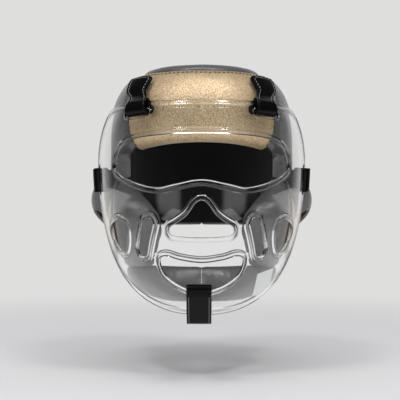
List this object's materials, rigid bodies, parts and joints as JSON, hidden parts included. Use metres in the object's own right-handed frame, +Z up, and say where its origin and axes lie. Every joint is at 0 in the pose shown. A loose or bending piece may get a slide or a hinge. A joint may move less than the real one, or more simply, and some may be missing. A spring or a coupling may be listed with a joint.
{
  "type": "boxing headgear with face shield",
  "caption": "Full-face padded leather boxing headgear with ear domes, closed at the back by a strap, carrying a clear moulded face shield on leather straps that peel open to free the shield.",
  "frame": {"origin": "on the middle plane at eye height, in the middle of the head cavity", "axes": "+X to the wearer's left, -Y the way the wearer faces, +Z up through the crown"},
  "size_m": [0.2408, 0.2662, 0.2602],
  "materials": {
    "grey_leather": "smooth gunmetal grey, semi-gloss",
    "gold_leather": "metallic champagne gold, grained",
    "black_leather": "black, glossy, edge stitched",
    "lining": "black, matt",
    "foam": "closed-cell foam",
    "hook_and_loop": "black hook-and-loop tape",
    "clear_plastic": "clear polycarbonate, polished",
    "white_tape": "blank white woven tape"
  },
  "bodies": {
    "headgear": {"forehead_cover": "gold_leather", "forehead_foam": "foam", "forehead_lining": "lining", "left_side_cover": "grey_leather", "left_side_foam": "foam", "left_side_lining": "lining", "right_side_cover": "grey_leather", "right_side_foam": "foam", "right_side_lining": "lining", "left_cheek_cover": "grey_leather", "left_cheek_foam": "foam", "left_cheek_lining": "lining", "right_cheek_cover": "grey_leather", "right_cheek_foam": "foam", "right_cheek_lining": "lining", "chin_cover": "grey_leather", "chin_foam": "foam", "chin_lining": "lining", "left_back_cover": "grey_leather", "left_back_foam": "foam", "left_back_lining": "lining", "right_back_cover": "grey_leather", "right_back_foam": "foam", "right_back_lining": "lining", "crown_cover": "grey_leather", "crown_foam": "foam", "crown_lining": "lining", "left_ear_dome": "grey_leather", "right_ear_dome": "grey_leather", "left_jaw_panel": "gold_leather", "right_jaw_panel": "gold_leather", "chin_tab": "black_leather", "sewn_tag": "white_tape", "top_left_loop_patch": "hook_and_loop", "top_right_loop_patch": "hook_and_loop", "side_left_loop_patch": "hook_and_loop", "side_right_loop_patch": "hook_and_loop", "chin_strap_loop_patch": "hook_and_loop", "rear_loop_patch": "hook_and_loop"},
    "shield": {"face_shield": "clear_plastic", "top_left_strap_loop": "black_leather", "top_right_strap_loop": "black_leather", "side_left_strap_loop": "black_leather", "side_right_strap_loop": "black_leather", "chin_strap_strap_loop": "black_leather"},
    "top_left_strap": {"top_left_tail": "black_leather", "top_left_hook_patch": "hook_and_loop"},
    "top_right_strap": {"top_right_tail": "black_leather", "top_right_hook_patch": "hook_and_loop"},
    "side_left_strap": {"side_left_tail": "black_leather", "side_left_hook_patch": "hook_and_loop"},
    "side_right_strap": {"side_right_tail": "black_leather", "side_right_hook_patch": "hook_and_loop"},
    "chin_strap": {"chin_strap_tail": "black_leather", "chin_strap_hook_patch": "hook_and_loop"},
    "rear_strap": {"rear_strap": "black_leather", "rear_hook_patch": "hook_and_loop"}
  },
  "joints": [
    {"name": "shield_slide", "type": "slide", "parent": "headgear", "child": "shield", "axis": [0, -1, 0], "range_m": [0, 0.12]},
    {"name": "top_left_peel", "type": "hinge", "parent": "shield", "child": "top_left_strap", "pos_m": [0.0573, -0.0849, 0.0735], "axis": [0.7071, 0.7071, 0], "range_deg": [0, 90]},
    {"name": "top_right_peel", "type": "hinge", "parent": "shield", "child": "top_right_strap", "pos_m": [-0.0573, -0.0849, 0.0735], "axis": [0.7071, -0.7071, 0], "range_deg": [0, 90]},
    {"name": "side_left_peel", "type": "hinge", "parent": "shield", "child": "side_left_strap", "pos_m": [0.0999, -0.0155, -0.0136], "axis": [0, 0, -1], "range_deg": [0, 90]},
    {"name": "side_right_peel", "type": "hinge", "parent": "shield", "child": "side_right_strap", "pos_m": [-0.0999, -0.0155, -0.0136], "axis": [0, 0, 1], "range_deg": [0, 90]},
    {"name": "chin_strap_peel", "type": "hinge", "parent": "shield", "child": "chin_strap", "pos_m": [0, -0.0852, -0.1524], "axis": [-1, 0, 0], "range_deg": [0, 80]},
    {"name": "rear_strap_peel", "type": "hinge", "parent": "headgear", "child": "rear_strap", "pos_m": [0.0504, 0.0998, -0.0186], "axis": [0, 0, -1], "range_deg": [0, 100]}
  ]
}
